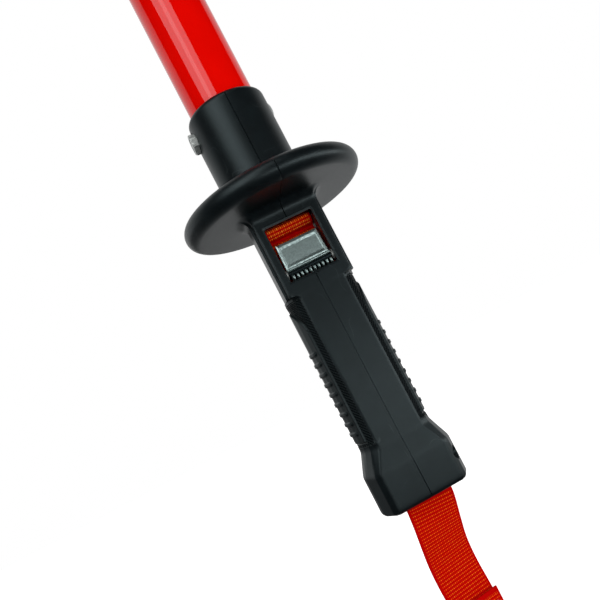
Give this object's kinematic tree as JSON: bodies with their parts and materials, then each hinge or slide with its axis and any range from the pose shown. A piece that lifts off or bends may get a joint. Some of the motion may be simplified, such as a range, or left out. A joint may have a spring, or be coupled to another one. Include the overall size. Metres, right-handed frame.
{
  "type": "strap pole handle",
  "caption": "Strap pole: tube clamped in a two-half moulded handle with round hand guard, spring cam buckle in a front window, webbing running through to a sewn hand loop.",
  "frame": {"origin": "on the tube axis, in the middle of the hand grip, where a hand or a clamp holds the pole", "axes": "+Z along the pole towards the tube's capped end, -Y the front with the buckle window, +X to the right seen from the front"},
  "size_m": [0.0964, 0.0964, 0.6568],
  "materials": {
    "tube_coat": "gloss powder coat on aluminium tube",
    "moulded_nylon": "satin injection-moulded glass-filled nylon",
    "grip_rubber": "fine diamond knurl on thermoplastic rubber",
    "guide_acetal": "plain moulded acetal",
    "buckle_steel": "zinc-plated pressed sheet",
    "lever_casting": "tumbled, zinc-plated die casting",
    "fastener_steel": "bright zinc plate",
    "spring_wire": "drawn spring wire",
    "webbing": "ribbed flat-woven polyester webbing"
  },
  "bodies": {
    "handle": {"pole_tube": "tube_coat", "end_cap": "moulded_nylon", "cap_screws": "fastener_steel", "anchor_pin": "fastener_steel", "strap_bush": "guide_acetal", "handle_shell_left": "moulded_nylon", "handle_shell_right": "moulded_nylon", "grip_pad_left": "grip_rubber", "grip_pad_right": "grip_rubber", "shell_screws": "fastener_steel", "collar_bolt": "fastener_steel", "collar_nut": "fastener_steel", "buckle_frame": "buckle_steel", "cam_pin": "fastener_steel", "cam_clip": "fastener_steel", "cam_spacers": "fastener_steel", "cam_spring": "spring_wire", "strap_run": "webbing", "strap_tail": "webbing"},
    "lever": {"cam_lever": "lever_casting"}
  },
  "joints": [
    {"name": "lever_press", "type": "hinge", "parent": "handle", "child": "lever", "pos_m": [0, -0.0097, 0.0539], "axis": [-1, 0, 0], "range_deg": [0, 9], "stiffness_Nm_per_rad": 0.03, "springref_deg": -28.65, "deforming": ["cam_spring"]}
  ]
}
